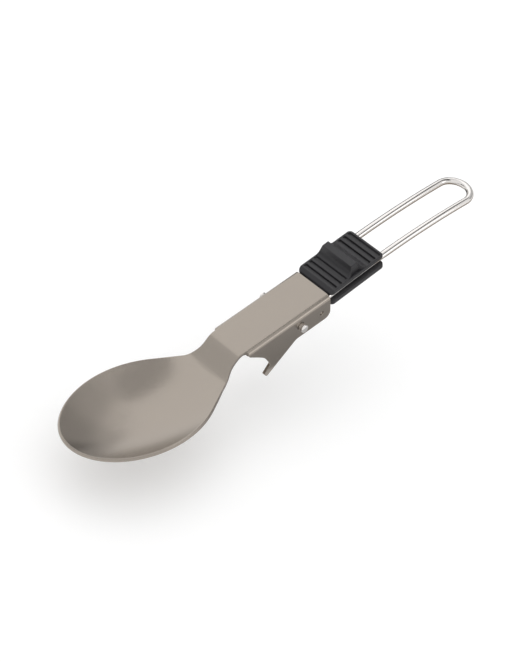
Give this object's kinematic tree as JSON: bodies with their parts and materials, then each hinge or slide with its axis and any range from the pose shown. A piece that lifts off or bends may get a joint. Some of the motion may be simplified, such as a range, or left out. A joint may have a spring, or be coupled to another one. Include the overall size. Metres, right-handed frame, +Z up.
{
  "type": "folding camp spoon",
  "caption": "Folding camp spoon: a shallow bowl on a bent channel with hooked flanges, a wire loop handle that folds under the bowl, and a sliding grip that locks it.",
  "frame": {"origin": "centre of the unfolded spoon's bounding box in X and Y, at the level it rests on in Z", "axes": "+X along the spoon from bowl to handle, +Y across it, +Z up, with the spoon lying on its bowl and hooks"},
  "size_m": [0.1664, 0.0372, 0.0303],
  "materials": {
    "blasted_steel": "bead-blasted satin",
    "polished_wire": "polished",
    "black_plastic": "fine matt moulding"
  },
  "bodies": {
    "spoon": {"spoon_plate": "blasted_steel"},
    "handle": {"wire_handle": "polished_wire"},
    "lock": {"slider": "black_plastic"}
  },
  "joints": [
    {"name": "handle_fold", "type": "hinge", "parent": "spoon", "child": "handle", "pos_m": [0.00265, 0, 0.01431], "axis": [0, 1, 0], "range_deg": [0, 173]},
    {"name": "slider_travel", "type": "hinge", "parent": "handle", "child": "lock", "pos_m": [0.09555, 0, -0.26199], "axis": [0, 1, 0], "range_deg": [0, 7.4]}
  ],
  "couplings": [
    {"joint": "slider_travel", "follows": "handle_fold", "ratio": 0.041}
  ]
}
